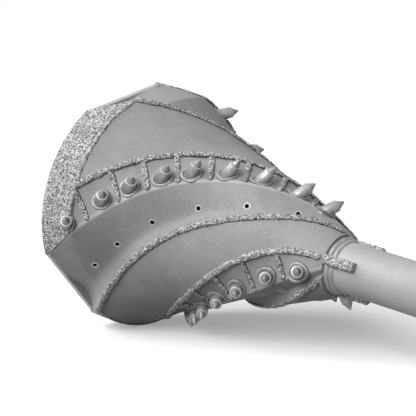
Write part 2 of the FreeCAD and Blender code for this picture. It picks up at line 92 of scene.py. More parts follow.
def plain_mesh(name, vertices, faces):
    """A new object from vertices and faces, at the origin."""
    mesh = bpy.data.meshes.new(name)
    mesh.from_pydata([tuple(v) for v in vertices], [], [tuple(f) for f in faces])
    made = bpy.data.objects.new(name, mesh)
    bpy.context.scene.collection.objects.link(made)
    return made


def sight(tree):
    """1 for rays that carry a view, straight or by way of metal or glass, and 0 for other light."""
    rays = tree.nodes.new("ShaderNodeLightPath")
    total = rays.outputs["Is Camera Ray"]
    for kind in ("Is Glossy Ray", "Is Transmission Ray"):
        larger = tree.nodes.new("ShaderNodeMath")
        larger.operation = "MAXIMUM"
        tree.links.new(total, larger.inputs[0])
        tree.links.new(rays.outputs[kind], larger.inputs[1])
        total = larger.outputs["Value"]
    return total


half = FLOOR_SIZE / 2
floor = plain_mesh("floor", [(-half, -half, 0), (half, -half, 0), (half, half, 0), (-half, half, 0)],
                   [(0, 1, 2, 3)])
floor_paint = bpy.data.materials.new("floor_paint")
floor_paint.use_nodes = True
tree = floor_paint.node_tree
tree.nodes.remove(tree.nodes["Principled BSDF"])
seen = tree.nodes.new("ShaderNodeBsdfDiffuse")
seen.inputs["Color"].default_value = FLOOR_SEEN
glow = tree.nodes.new("ShaderNodeEmission")
paper = tree.nodes.new("ShaderNodeMixShader")
paper.inputs["Fac"].default_value = PAPER_GLOW
tree.links.new(seen.outputs["BSDF"], paper.inputs[1])
tree.links.new(glow.outputs["Emission"], paper.inputs[2])
felt = tree.nodes.new("ShaderNodeBsdfDiffuse")
felt.inputs["Color"].default_value = FLOOR_FELT
mix = tree.nodes.new("ShaderNodeMixShader")
tree.links.new(sight(tree), mix.inputs["Fac"])
tree.links.new(felt.outputs["BSDF"], mix.inputs[1])
tree.links.new(paper.outputs["Shader"], mix.inputs[2])
tree.links.new(mix.outputs["Shader"], tree.nodes["Material Output"].inputs["Surface"])
floor.data.materials.append(floor_paint)

sky = bpy.data.worlds.new("sky")
sky.use_nodes = True
bpy.context.scene.world = sky
tree = sky.node_tree
plain_sky = tree.nodes["Background"]
plain_sky.inputs["Color"].default_value = WHITE
plain_sky.inputs["Strength"].default_value = SKY_LIGHT
white_sky = tree.nodes.new("ShaderNodeBackground")
white_sky.inputs["Color"].default_value = WHITE
mix = tree.nodes.new("ShaderNodeMixShader")
tree.links.new(sight(tree), mix.inputs["Fac"])
tree.links.new(plain_sky.outputs["Background"], mix.inputs[1])
tree.links.new(white_sky.outputs["Background"], mix.inputs[2])
tree.links.new(mix.outputs["Shader"], tree.nodes["World Output"].inputs["Surface"])


def lamp(name, place, power, wide):
    """Even light from a place towards the tool, as from a soft source so many degrees wide."""
    data = bpy.data.lights.new(name, "SUN")
    data.energy = power
    data.angle = math.radians(wide)
    made = bpy.data.objects.new(name, data)
    bpy.context.scene.collection.objects.link(made)
    made.location = place
    made.rotation_euler = (-Vector(place)).to_track_quat("-Z", "Y").to_euler()


lamp("key_lamp", (0.36, -2.60, 1.45), 2.45, 40)
lamp("left_lamp", (-1.60, -1.33, 2.05), 1.55, 40)
lamp("top_light", (-0.3, 0.3, 2.97), 0.25, 110)

# The cast cone. It is one steel casting with three spiral lands and three flutes, ground along its
# lands and blasted in its flutes, and bored for the shaft. Sizes are those of the part's source.
LANDS = "abc"
SHARE = 360.0 / len(LANDS)
CONE_LENGTH = 336.0
RIM_LENGTH = 50.0
RIM_RADIUS = 149.4
SHAFT_RADIUS = 29.0
PLATE = 8.0
START_ANGLE = -113.4
FLUTE_PLACES = [0.0, 0.10, 0.25, 0.45, 0.72, 1.0]
FLUTE_DEPTHS = [0.0, 0.60, 1.0, 0.90, 0.48, 0.0]
EDGE_ROUND = 1.3
# How fast the painted highlight and wear along the tooth edges fade: they fall by a power of e over each of
# these millimetres.
EDGE_SHEEN_AND_WEAR = 0.6
STRIP_COLUMNS, LAND_COLUMNS, FLUTE_COLUMNS = 16, 40, 48
CAST_STEP = 2.0
CAST_WAVES, CAST_DENTS, CAST_GROUND = 0.25, 0.10, 0.2


def down_the_cone(values, start=0.0):
    """The polynomial through values at even steps from a station to the nose."""
    steps = np.linspace(start, CONE_LENGTH, len(values))
    return np.poly1d(np.polyfit(steps, values, len(values) - 1))


edge_turn = down_the_cone([0.0, 30.0, 65.2, 98.2, 143.0])
strip_angle = down_the_cone([11.2, 24.1, 29.2, 40.0, 19.0])
land_angle = down_the_cone([74.7, 77.6, 82.4, 82.0, 102.0])
flute_depth = down_the_cone([19.0, 17.0, 12.0, 4.5])
taper = down_the_cone([RIM_RADIUS, 104.7, 73.8, SHAFT_RADIUS + 6.5], RIM_LENGTH)


def land_radius(station):
    """Radius of the land: straight over the rim, then the taper's polynomial."""
    station = np.asarray(station, float)
    return np.where(station <= RIM_LENGTH, RIM_RADIUS, taper(station))


def tooth_edge(station, land):
    """Angle of a land's leading edge: its third of the circle, and the turn up to the station."""
    return START_ANGLE + land * SHARE + edge_turn(station)


def mid_line(station, land):
    """Angle at which the flat strip with the teeth ends and the round back begins."""
    return tooth_edge(station, land) + strip_angle(station)


def ridge(station, land):
    """Angle at which the land ends and the next flute begins."""
    return tooth_edge(station, land) + land_angle(station)


def at(station, radius, angle):
    """Points from station, radius and angle from the top, as (station, to the side, up)."""
    station, radius, angle = np.broadcast_arrays(station, radius, np.radians(angle))
    return np.stack([station, radius * np.sin(angle), radius * np.cos(angle)], -1).astype(float)


def on_strip(station, land, part):
    """A point of the flat strip, on the straight line from the tooth edge to the middle line."""
    radius = land_radius(station)
    edge = at(station, radius, tooth_edge(station, land))
    middle = at(station, radius, mid_line(station, land))
    return edge + (middle - edge) * np.asarray(part)[..., None]


def face_normal(station, angle):
    """Unit vectors square to the land: outward, less the slope of the taper forward."""
    slope = land_radius(station + 1.0) - land_radius(station)
    normal = at(0.0 * station, 1.0, angle)
    normal[..., 0] = -slope
    return normal / np.linalg.norm(normal, axis=-1, keepdims=True)


def smooth_curve(knots, values, places):
    """The natural cubic spline through values at knots, read at places.

    Its second derivatives solve the usual three-term equations, with zero at both ends."""
    knots, values = np.asarray(knots, float), np.asarray(values, float)
    gaps, rises = np.diff(knots), np.diff(values)
    inner = np.eye(len(knots))
    right = np.zeros(len(knots))
    for k in range(1, len(knots) - 1):
        inner[k, k - 1:k + 2] = gaps[k - 1], 2 * (gaps[k - 1] + gaps[k]), gaps[k]
        right[k] = 6 * (rises[k] / gaps[k] - rises[k - 1] / gaps[k - 1])
    bend = np.linalg.solve(inner, right)
    here = np.clip(np.searchsorted(knots, places) - 1, 0, len(gaps) - 1)
    gap, back, ahead = gaps[here], places - knots[here], knots[here + 1] - places
    return ((bend[here] * ahead ** 3 + bend[here + 1] * back ** 3) / (6 * gap)
            + (values[here] / gap - bend[here] * gap / 6) * ahead
            + (values[here + 1] / gap - bend[here + 1] * gap / 6) * back)


def flute_floor(places, width, depth):
    """Place across and depth of the floor of a flute, at shares of the length of its outline."""
    across, down = np.array(FLUTE_PLACES) * width, np.array(FLUTE_DEPTHS) * depth
    reach = np.concatenate([[0], np.cumsum(np.hypot(np.diff(across), np.diff(down)))])
    return (smooth_curve(reach, across, places * reach[-1]) / width,
            smooth_curve(reach, down, places * reach[-1]))


def cone_ring(station):
    """The outline of the casting at one station, with its sharp edges eased.

    Its shade lightens both sides of each tooth edge, as wear and as a painted highlight of the eased
    edge. It falls off by a power of e over each width set for that sheen and wear."""
    radius, ring, edge_sheen_and_wear = float(land_radius(station)), [], []
    for land in range(len(LANDS)):
        first, middle, last = (float(line(station, land)) for line in (tooth_edge, mid_line, ridge))
        width = math.radians(middle - first) * radius
        parts = np.linspace(EDGE_ROUND / width, 1, STRIP_COLUMNS)
        if station > RIM_LENGTH:
            ring.append(on_strip(np.full(STRIP_COLUMNS, station), land, parts))
        else:
            ring.append(at(station, radius, first + (middle - first) * parts))
        ring.append(at(station, radius, np.linspace(middle, last, LAND_COLUMNS)[1:]))
        edge_sheen_and_wear.append(np.exp(-(parts * width - EDGE_ROUND) / EDGE_SHEEN_AND_WEAR))
        edge_sheen_and_wear.append(np.zeros(LAND_COLUMNS - 1))
        gap = first + SHARE - last
        width = math.radians(gap) * radius
        ease = EDGE_ROUND / width
        parts = np.linspace(ease, 1 - ease, FLUTE_COLUMNS)
        place, depth = flute_floor(parts, width, float(flute_depth(station)))
        ring.append(at(station, radius - depth, last + gap * place))
        edge_sheen_and_wear.append(np.exp(-((1 - place) * width - EDGE_ROUND) / EDGE_SHEEN_AND_WEAR))
    return with_shade(np.concatenate(ring), np.clip(np.concatenate(edge_sheen_and_wear), 0, 1))


def noise(points, size, seed):
    """Smooth random heights between -1 and 1, for points in millimetres.

    Random values sit on a cubic lattice and are blended between its corners by smooth steps."""
    cell = np.floor(points / size)
    part = points / size - cell
    part = part * part * (3 - 2 * part)
    total = np.zeros(points.shape[:-1])
    for corner in itertools.product((0, 1), repeat=3):
        weight = np.prod(np.where(np.array(corner), part, 1 - part), -1)
        total += weight * scatter(cell + corner, seed)
    return 2 * total - 1


def scatter(cells, seed):
    """A random number from 0 to 1 for each lattice cell: the fraction of a large sine."""
    mixed = np.sin(cells @ np.array([12.9898, 78.233, 37.719]) + seed * 4.1414) * 43758.5453
    return mixed - np.floor(mixed)


def facing_out(rings):
    """A shell's rings, reversed if its volume would come out negative."""
    laid = lay_down(rings)
    turned = np.cross(laid[:-1, 1:] - laid[:-1, :-1], laid[1:, :-1] - laid[:-1, :-1])
    inside_out = np.sum(turned * (laid[:-1, :-1] - laid.mean((0, 1)))) < 0
    return rings[:, ::-1] if inside_out else rings


def with_shade(points, shade):
    """Points with a fourth value, from 0 to 1, that the finish reads as the attribute shade."""
    return np.concatenate([points, np.broadcast_to(shade, points.shape[:-1])[..., None]], -1)


def tube_faces(rings, around, joined_ends):
    """Four-sided faces between rings of points, and the flat caps unless the ends are joined."""
    index = np.arange(rings * around).reshape(rings, around)
    following = np.roll(index, -1, 0) if joined_ends else index[1:]
    index = index if joined_ends else index[:-1]
    quads = np.stack([index, np.roll(index, -1, 1), np.roll(following, -1, 1), following], -1)
    faces = quads.reshape(-1, 4).tolist()
    if not joined_ends:
        faces += [list(range(around - 1, -1, -1)), list(range((rings - 1) * around, rings * around))]
    return faces


def merged(shells, joined_ends):
    """The vertices, faces and shades of closed shells, each an array of rings of points."""
    vertices, faces, shades = [], [], []
    for rings in shells:
        rings = facing_out(rings)
        start = sum(len(part) for part in vertices)
        vertices.append(lay_down(rings).reshape(-1, 3))
        shades.append(rings[..., 3].ravel() if rings.shape[-1] == 4 else np.zeros(rings[..., 0].size))
        faces += [[start + corner for corner in face]
                  for face in tube_faces(rings.shape[0], rings.shape[1], joined_ends)]
    return np.concatenate(vertices), faces, np.concatenate(shades)


def piece(name, shells, finish, nodes, joined_ends=False, sharp=40.0):
    """One object made of closed shells in millimetres, which takes the place of its nodes."""
    vertices, faces, shades = merged(shells, joined_ends)
    made = plain_mesh(name, vertices, faces)
    made.data.shade_smooth()
    made.data.set_sharp_from_angle(angle=math.radians(sharp))
    made.data.attributes.new("shade", "FLOAT", "POINT").data.foreach_set("value", shades)
    made.data.materials.append(finish)
    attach(made, "root")
    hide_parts(*nodes)
    return made


class Finish:
    """A procedural finish: a metal shader, with short ways to add the nodes that drive it."""

    def __init__(self, name, metallic, specular=0.5):
        self.material = bpy.data.materials.new(name)
        self.material.use_nodes = True
        self.tree = self.material.node_tree
        self.shader = self.tree.nodes["Principled BSDF"]
        self.shader.inputs["Metallic"].default_value = metallic
        self.shader.inputs["Specular IOR Level"].default_value = specular
        self.place = self.tree.nodes.new("ShaderNodeTexCoord").outputs["Object"]
        self.shade = self.node("Attribute", attribute_name="shade").outputs["Fac"]

    def node(self, kind, **settings):
        """A new shader node with its settings."""
        made = self.tree.nodes.new("ShaderNode" + kind)
        for setting, value in settings.items():
            setattr(made, setting, value)
        return made

    def set(self, socket, value):
        """Links an output, or writes a plain number or colour."""
        if isinstance(value, bpy.types.NodeSocket):
            self.tree.links.new(value, socket)
        else:
            socket.default_value = value

    def stretched(self, turn, stretch):
        """The place on the piece, turned and then stretched, for marks that run one way."""
        mapping = self.node("Mapping")
        self.set(mapping.inputs["Vector"], self.place)
        mapping.inputs["Rotation"].default_value = [math.radians(angle) for angle in turn]
        mapping.inputs["Scale"].default_value = stretch
        return mapping.outputs["Vector"]

    def clouds(self, size, detail=3.0, rough=0.55, place=None):
        """Noise with patches of a size in millimetres."""
        made = self.node("TexNoise")
        self.set(made.inputs["Vector"], place or self.place)
        made.inputs["Scale"].default_value = 1 / (size * MM)
        made.inputs["Detail"].default_value = detail
        made.inputs["Roughness"].default_value = rough
        return made.outputs["Fac"]

    def grains(self, size, feature="F1"):
        """Cells of a size in millimetres: their distance and their random colour."""
        made = self.node("TexVoronoi", feature=feature)
        self.set(made.inputs["Vector"], self.place)
        made.inputs["Scale"].default_value = 1 / (size * MM)
        return made

    def ramp(self, value, low, high, dark, light):
        """A value spread from one range into another, held at both ends."""
        made = self.node("MapRange")
        self.set(made.inputs["Value"], value)
        for name, number in (("From Min", low), ("From Max", high), ("To Min", dark), ("To Max", light)):
            made.inputs[name].default_value = number
        return made.outputs["Result"]

    def sum(self, first, second, way="ADD"):
        """Two values added, or joined in another way."""
        made = self.node("Math", operation=way)
        self.set(made.inputs[0], first)
        self.set(made.inputs[1], second)
        return made.outputs["Value"]

    def darkened(self, value, share):
        """A value that falls to a share of itself where the shade is full."""
        return self.sum(value, self.ramp(self.shade, 0.0, 1.0, 1.0, share), "MULTIPLY")

    def paint(self, value):
        """A grey base colour from a value, with a trace of blue."""
        made = self.node("CombineColor")
        for channel, share in (("Red", 0.99), ("Green", 1.0), ("Blue", 1.01)):
            self.set(made.inputs[channel], self.sum(value, share, "MULTIPLY"))
        self.set(self.shader.inputs["Base Color"], made.outputs["Color"])

    def bumps(self, height, depth, below=None):
        """Relief of a depth in millimetres, over what lies below it."""
        made = self.node("Bump")
        made.inputs["Strength"].default_value = 1.0
        made.inputs["Distance"].default_value = depth * MM
        self.set(made.inputs["Height"], height)
        if below:
            self.set(made.inputs["Normal"], below)
        self.set(self.shader.inputs["Normal"], made.outputs["Normal"])
        return made.outputs["Normal"]


cast_steel = Finish("cast_steel", metallic=0.05, specular=0.15)
patches = cast_steel.clouds(90.0, 6.0, 0.60)
speckle = cast_steel.clouds(1.6, 2.0, 0.6)
scratches = cast_steel.clouds(2.2, 2.0, 0.5, cast_steel.stretched((0, 9.4, 0), (0.03, 1.0, 1.0)))
tone = cast_steel.ramp(patches, 0.42, 0.56, 0.34, 0.40)
tone = cast_steel.sum(tone, cast_steel.ramp(speckle, 0.3, 0.7, -0.04, 0.04))
tone = cast_steel.sum(tone, cast_steel.ramp(scratches, 0.64, 0.72, 0.0, 0.10))
# The shade attribute lightens the tooth edges: wear, and a painted highlight of the eased edge.
cast_steel.paint(cast_steel.sum(tone, cast_steel.ramp(cast_steel.shade, 0.0, 1.0, 0.0, 0.18)))
cast_steel.set(cast_steel.shader.inputs["Roughness"], cast_steel.ramp(patches, 0.3, 0.7, 0.62, 0.50))
grain = cast_steel.bumps(speckle, 0.10)
cast_steel.bumps(scratches, 0.12, grain)

rim_stations = np.linspace(PLATE, RIM_LENGTH - 0.1, 10)
taper_stations = np.arange(RIM_LENGTH + 0.1, CONE_LENGTH, CAST_STEP)
skin = np.stack([cone_ring(station) for station in [*rim_stations, *taper_stations, CONE_LENGTH]])
skin, edge_sheen_and_wear = skin[..., :3], skin[..., 3]
outward = skin * [0, 1, 1] / np.linalg.norm(skin[..., 1:], axis=-1, keepdims=True)
uneven = CAST_WAVES * noise(skin, 34.0, 3) + CAST_DENTS * noise(skin, 9.0, 4)
skin += outward * uneven[..., None] - CAST_GROUND * outward
bore = outward[[0, -1]] * SHAFT_RADIUS + skin[[0, -1]] * [1, 0, 0]
skin = np.concatenate([with_shade(skin, edge_sheen_and_wear), with_shade(bore[::-1], 0.0)])
cone = piece("cone_casting", [skin], cast_steel.material,
             ["reamer_cone"], joined_ends=True, sharp=50.0)

# The hardfacing on the rim. Crushed carbide in weld metal is laid over the straight rim of each
# land, up to the bored size, and keeps the rim from wearing. It is a rough patch about 3 mm thick.
ARMOUR = 3.0
ARMOUR_ROUND = 1.4
ARMOUR_SINK = 0.4
BORDER_WIDTH, BORDER_HEIGHT, BORDER_GROOVE = 7.0, 0.4, 0.5
GRIT_SIZE, GRIT_DEPTH, GRIT_STEP = 1.8, 1.0, 0.72
GRAIN_SIZE, FINE_GRAIN_SIZE = 1.55, 0.7


def grit(points, size, seed):
    """Relief of crushed grains, from 0 in the gaps between them to about 1 on their tops.

    Space is cut into cells, each with one grain at a random place and of a random height. A point
    takes the height of its nearest grain, rounded off towards the next nearest one."""
    cell = np.floor(points / size)
    nearest = np.full(points.shape[:-1], np.inf)
    second, height = nearest.copy(), np.zeros(points.shape[:-1])
    for offset in itertools.product((-1, 0, 1), repeat=3):
        corner = cell + offset
        centre = corner + np.stack([scatter(corner, seed + axis) for axis in range(3)], -1)
        distance = np.linalg.norm(points / size - centre, axis=-1)
        closer = distance < nearest
        second = np.where(closer, nearest, np.minimum(second, distance))
        height = np.where(closer, scatter(corner, seed + 3), height)
        nearest = np.where(closer, distance, nearest)
    return (0.35 + 0.65 * height) * np.clip((second - nearest) / 0.45, 0, 1) ** 0.6


def eased(distance, radius):
    """How far a rounded edge has dropped, at a distance inside it: a quarter of a circle."""
    return radius - np.sqrt(radius ** 2 - np.clip(radius - distance, 0, radius) ** 2)


def rim_patch(land, seed):
    """Rings across the land, each the closed outline of the patch: its top, front, foot and back.

    A low bead with a groove behind it borders the front edge; the groove and the patch's front and foot
    are painted dark as shade. Where the patch would reach under the floor, it is flattened."""
    length = math.radians(float(land_angle(RIM_LENGTH))) * RIM_RADIUS
    parts = np.linspace(0, 1, int(length / GRIT_STEP))
    top = np.linspace(0, RIM_LENGTH, int(RIM_LENGTH / GRIT_STEP))
    foot = np.linspace(RIM_LENGTH, 0, 12)
    station = np.concatenate([top, [RIM_LENGTH], foot, [0.0]])
    raised = np.concatenate([np.ones(len(top)), [0.45], np.zeros(len(foot)), [0.45]])
    part, station = np.meshgrid(parts, station, indexing="ij")
    raised = np.broadcast_to(raised, part.shape)
    width = math.radians(1) * RIM_RADIUS * land_angle(station)
    inside = np.minimum(np.minimum(part, 1 - part) * width, np.minimum(station, RIM_LENGTH - station))
    angle = tooth_edge(station, land) + part * land_angle(station)
    radius = RIM_RADIUS - ARMOUR_SINK + raised * (ARMOUR + ARMOUR_SINK - eased(inside, ARMOUR_ROUND))
    points = at(station, radius, angle)
    border = (RIM_LENGTH - station - BORDER_WIDTH / 2) / (BORDER_WIDTH / 2)
    groove = np.exp(-((border - 1.1) / 0.16) ** 2) * (raised > 0.9)
    swell = 0.25 * (noise(points, 14.0, seed) - 1) + BORDER_HEIGHT * (np.exp(-border ** 4) - 1)
    relief = GRIT_DEPTH * (grit(points, GRIT_SIZE, seed) - 1) - BORDER_GROOVE * groove
    shift = noise(points, 5.0, seed + 1) * 0.8 * (inside < 0.5) * (station > RIM_LENGTH - 1)
    rough = at(station + shift, radius + (raised > 0.9) * (swell + relief), angle)
    under_floor = np.minimum(lay_down(rough)[..., 2:], 0) / MM
    # The patch's front and foot, and the groove behind its border bead, are painted dark as shade.
    painted_shade = np.maximum((raised < 0.9) * (station > 1) * 0.9, 0.8 * groove)
    return with_shade(rough - under_floor * [forward[2], side[2], up[2]], painted_shade)


hardfacing = Finish("hardfacing", metallic=0.1, specular=0.4)
large = hardfacing.grains(GRAIN_SIZE)
small = hardfacing.grains(FINE_GRAIN_SIZE)
gaps = hardfacing.grains(GRAIN_SIZE, "DISTANCE_TO_EDGE")
split = hardfacing.node("SeparateColor")
hardfacing.set(split.inputs["Color"], large.outputs["Color"])
tone = hardfacing.ramp(split.outputs["Red"], 0.1, 0.9, 0.15, 0.95)
tone = hardfacing.sum(tone, hardfacing.ramp(hardfacing.clouds(0.8, 2.0), 0.3, 0.7, -0.12, 0.12))
# Darker towards each grain's edge, down to a quarter in the gaps: painted shade between the grains.
tone = hardfacing.sum(tone, hardfacing.ramp(gaps.outputs["Distance"], 0.0, 0.14, 0.25, 1.0), "MULTIPLY")
# Falls to 12 % of its tone where the shade attribute is full: painted shade at bead feet and the rim
# patch's front and groove.
hardfacing.paint(hardfacing.darkened(tone, 0.12))
dullness = hardfacing.ramp(split.outputs["Green"], 0.0, 1.0, 0.35, 0.75)
hardfacing.set(hardfacing.shader.inputs["Roughness"], dullness)
lumps = hardfacing.bumps(hardfacing.ramp(large.outputs["Distance"], 0.0, 0.8, 1.0, 0.0), 0.7)
hardfacing.bumps(small.outputs["Distance"], 0.25, lumps)

for land, letter in enumerate(LANDS):
    piece("rim_hardfacing_" + letter, [rim_patch(land, 10 + 5 * land)], hardfacing.material,
          ["rim_armour_" + letter], sharp=80.0)

# The beads of the same hardfacing. One runs along the ridge of each land and one down its middle,
# with short beads across the strip that part the teeth. They are welded by hand, so their
# width and height wander and their edges are ragged.
BEAD_HALF_WIDTH, BEAD_HEIGHT, BEAD_SINK = 3.9, 3.3, 1.4
BEAD_INSET = 2.2
DIVIDER_HALF_WIDTH, DIVIDER_HEIGHT = 3.6, 2.7
DIVIDER_SLANT = {"a": 22.0, "b": 22.0, "c": 10.0}
BEAD_STEP = 0.75
BEAD_START, BEAD_END = RIM_LENGTH - 3.0, CONE_LENGTH - 3.0
DIVIDER_PLACE = 0.36
TOOTH_SHARES = [0.126, 0.231, 0.304, 0.390, 0.468, 0.567, 0.664, 0.779, 0.884]
ROW_SHIFT = {"a": 0.0, "b": 17.5, "c": 8.0}
ROW_SPREAD = {"a": 0.0, "b": 14.0, "c": 6.0}


def even_path(line, first, last):
    """Stations from first to last, spaced so that the line through line(station) has even steps."""
    rough = np.linspace(first, last, 200)
    reach = np.concatenate([[0], np.cumsum(np.linalg.norm(np.diff(line(rough), axis=0), axis=-1))])
    return np.interp(np.linspace(0, reach[-1], int(reach[-1] / BEAD_STEP)), reach, rough)


def bead(centre, normal, half_width, height, seed):
    """A weld bead: half a squared oval over a shallow foot, carried along a line on the land.

    The oval's width and height wander by slow noise, it closes in a quarter round at both ends,
    and grains stand out of it, away from its middle. One side of its foot is painted dark as shade."""
    ahead = np.gradient(centre, axis=0)
    ahead /= np.linalg.norm(ahead, axis=-1, keepdims=True)
    across = np.cross(ahead, normal)
    across /= np.linalg.norm(across, axis=-1, keepdims=True)
    above = np.cross(across, ahead)
    turn = np.radians(np.concatenate([np.linspace(-8, 188, 22), np.linspace(205, 335, 5)]))
    reach = np.concatenate([[0], np.cumsum(np.linalg.norm(np.diff(centre, axis=0), axis=-1))])
    to_end = np.minimum(reach, reach[-1] - reach)
    blunt = np.clip(1 - eased(to_end, half_width) / half_width, 0.05, 1)[:, None]
    wide = half_width * (1 + 0.16 * noise(centre, 5.0, seed) + 0.10 * noise(centre, 2.2, seed + 1))[:, None]
    high = height * (0.92 + 0.12 * noise(centre, 4.0, seed + 2))[:, None]
    sway = 0.5 * noise(centre, 9.0, seed + 3)[:, None]
    sideways = wide * blunt * np.sign(np.cos(turn)) * np.abs(np.cos(turn)) ** 0.7 + sway
    upward = np.where(np.sin(turn) > -0.2, high * blunt, BEAD_SINK) * np.sin(turn)
    points = centre[:, None] + sideways[..., None] * across[:, None] + upward[..., None] * above[:, None]
    out = np.cos(turn)[:, None] * across[:, None] + np.sin(turn)[:, None] * above[:, None]
    relief = (grit(points, GRIT_SIZE, seed) - 0.75) * 0.95 * np.clip(0.4 + np.sin(turn), 0, 1) * blunt
    # One side of the bead's foot is painted dark as shade.
    foot = np.clip((0.42 - np.sin(turn)) / 0.2, 0, 1) * (np.cos(turn) > 0)
    return with_shade(points + relief[..., None] * out, foot)


def land_bead(line, land, seed):
    """A long bead over the round back of the land, along a line of angles."""
    station = even_path(lambda s: at(s, land_radius(s), line(s, land)), BEAD_START, BEAD_END)
    angle = line(station, land)
    return bead(at(station, land_radius(station), angle), face_normal(station, angle),
                BEAD_HALF_WIDTH, BEAD_HEIGHT, seed)


def along_ridge(station, land):
    """Angle of the ridge's bead, whose middle lies a little inside the ridge."""
    return ridge(station, land) - np.degrees(BEAD_INSET / land_radius(station))


def tooth_stations(letter):
    """Stations of the feet of one row of teeth. The rows are shifted, so that their cuts overlap."""
    numbers = np.arange(len(TOOTH_SHARES))
    return (np.array(TOOTH_SHARES) * CONE_LENGTH + ROW_SHIFT[letter]
            + ROW_SPREAD[letter] * numbers / (len(numbers) - 1))


for land, letter in enumerate(LANDS):
    piece("ridge_hardfacing_" + letter, [land_bead(along_ridge, land, 30 + 7 * land)],
          hardfacing.material, ["ridge_bead_" + letter], sharp=80.0)
    beads = [land_bead(mid_line, land, 60 + 7 * land)]
    feet = tooth_stations(letter)
    for number, middle in enumerate((feet[1:] + feet[:-1]) / 2):
        part = np.linspace(0, 1, 60)
        station = middle + DIVIDER_SLANT[letter] * (DIVIDER_PLACE - part)
        angle = tooth_edge(station, land) + part * strip_angle(station)
        line = on_strip(station, land, part)
        reach = np.concatenate([[0], np.cumsum(np.linalg.norm(np.diff(line, axis=0), axis=-1))])
        even = np.linspace(0, reach[-1], int(reach[-1] / BEAD_STEP))
        line = np.stack([np.interp(even, reach, line[:, axis]) for axis in range(3)], -1)
        normal = face_normal(np.interp(even, reach, station), np.interp(even, reach, angle))
        beads.append(bead(line, normal, DIVIDER_HALF_WIDTH, DIVIDER_HEIGHT, 90 + 10 * land + number))
    piece("strip_hardfacing_" + letter, beads, hardfacing.material, ["strip_bead_" + letter],
          sharp=80.0)

# The hard-faced bars. One short bar is welded to the shaft in front of each land, where the
# middle bead ends, and is covered with the same hardfacing on its top and sides.
BAR_LENGTH, BAR_HALF_WIDTH, BAR_HEIGHT = 40.0, 6.1, 7.6


def nose_bar(land, seed):
    """A bar along the shaft: a squared oval section, its sine and cosine each to a low power."""
    angle = float(mid_line(CONE_LENGTH, land))
    ahead = np.linspace(0, BAR_LENGTH, int(BAR_LENGTH / GRIT_STEP))
    turn = np.radians(np.concatenate([np.linspace(-15, 195, 44), np.linspace(215, 325, 7)]))
    blunt = (1 - 0.30 * eased(np.minimum(ahead + 2, BAR_LENGTH - ahead), 2.5) / 2.5)[:, None]
    wide = BAR_HALF_WIDTH * blunt * np.sign(np.cos(turn)) * np.abs(np.cos(turn)) ** 0.45
    high = BAR_HEIGHT * blunt * np.sign(np.sin(turn)) * np.abs(np.sin(turn)) ** 0.5
    high = np.where(np.sin(turn) > 0, high, 2.0 * np.sin(turn))
    middle = at(ahead + CONE_LENGTH, SHAFT_RADIUS, angle)[:, None]
    across, above = at(0.0, 1.0, angle + 90), at(0.0, 1.0, angle)
    points = middle + wide[..., None] * across + high[..., None] * above
    out = np.cos(turn)[:, None] * across + np.sin(turn)[:, None] * above
    relief = (grit(points, GRIT_SIZE, seed) - 0.8) * 1.1 + 0.5 * noise(points, 7.0, seed + 1)
    return points + (relief * (np.sin(turn) > -0.3))[..., None] * out


for land, letter in enumerate(LANDS):
    piece("shaft_bar_" + letter, [nose_bar(land, 140 + 5 * land)], hardfacing.material,
          ["nose_bar_" + letter], sharp=80.0)

# The teeth. Each is a turned steel shank that stands in a drilled socket, leaning forward and into
# the turn, with a cone of sintered carbide brazed on its end. The shank tapers a little to its end.
SHANK_RADIUS, SHANK_FOOT, SHANK_SUNK = 6.8, 7.7, 7.0
TOOTH_PLACES = [0.30] * 8 + [0.13]
TOOTH_REACH = 24.6
TOOTH_RAKE, TOOTH_SKEW = 47.5, 37.5
TIP_HEIGHT, TIP_RADIUS, TIP_POINT = 8.0, 5.1, 1.5
ROUND_STEPS = 56


def tooth_frame(station, land, place):
    """The middle of a tooth's foot, its direction, and the normal of the flat strip there."""
    foot = on_strip(station, land, place)
    angle = tooth_edge(station, land) + strip_angle(station) * place
    rake, skew = math.radians(TOOTH_RAKE), math.radians(TOOTH_SKEW)
    lean = np.array([math.cos(skew), 0, 0]) + math.sin(skew) * at(0.0, 1.0, angle + 90)
    pointing = math.cos(rake) * at(0.0, 1.0, angle) + math.sin(rake) * lean
    along = on_strip(station + 1, land, place) - on_strip(station - 1, land, place)
    across = on_strip(station, land, 1) - on_strip(station, land, 0)
    normal = np.cross(across, along)
    normal *= np.sign(normal @ at(0.0, 1.0, angle))
    return foot, pointing, normal / np.linalg.norm(normal)


def row_frames(land, letter):
    """The frames of all teeth of one row."""
    return [tooth_frame(station, land, place)
            for station, place in zip(tooth_stations(letter), TOOTH_PLACES)]


def turned(foot, pointing, profile, steps=ROUND_STEPS):
    """A turned piece: its profile, pairs of height and radius, goes once round the direction."""
    first = np.cross(pointing, [0.0, 0.0, 1.0])
    first /= np.linalg.norm(first)
    second = np.cross(pointing, first)
    turn = np.linspace(0, 2 * np.pi, steps, endpoint=False)
    spoke = np.cos(turn)[:, None] * first + np.sin(turn)[:, None] * second
    height, radius = np.array(profile).T
    return foot + height[:, None, None] * pointing + radius[:, None, None] * spoke


shank_top = TOOTH_REACH - TIP_HEIGHT
shank_profile = [(-SHANK_SUNK, SHANK_FOOT), (0.0, SHANK_FOOT), (shank_top - 0.5, SHANK_RADIUS),
                 (shank_top - 0.1, SHANK_RADIUS - 0.3), (shank_top, SHANK_RADIUS - 0.6), (shank_top, 0.5)]
# The chamfer at the top of each shank is painted lighter: wear, and a painted highlight of the edge.
SHANK_SHEEN_AND_WEAR = np.array([0, 0, 0.3, 1, 0.8, 0])
curve = np.radians(np.linspace(25, 86, 7))
tip_profile = [(shank_top - 1.0, TIP_RADIUS), (shank_top + 0.6, TIP_RADIUS),
               (shank_top + 1.0, TIP_RADIUS - 0.12)]
tip_profile += [(TOOTH_REACH - TIP_POINT * (1 - math.sin(a)), TIP_POINT * math.cos(a)) for a in curve]

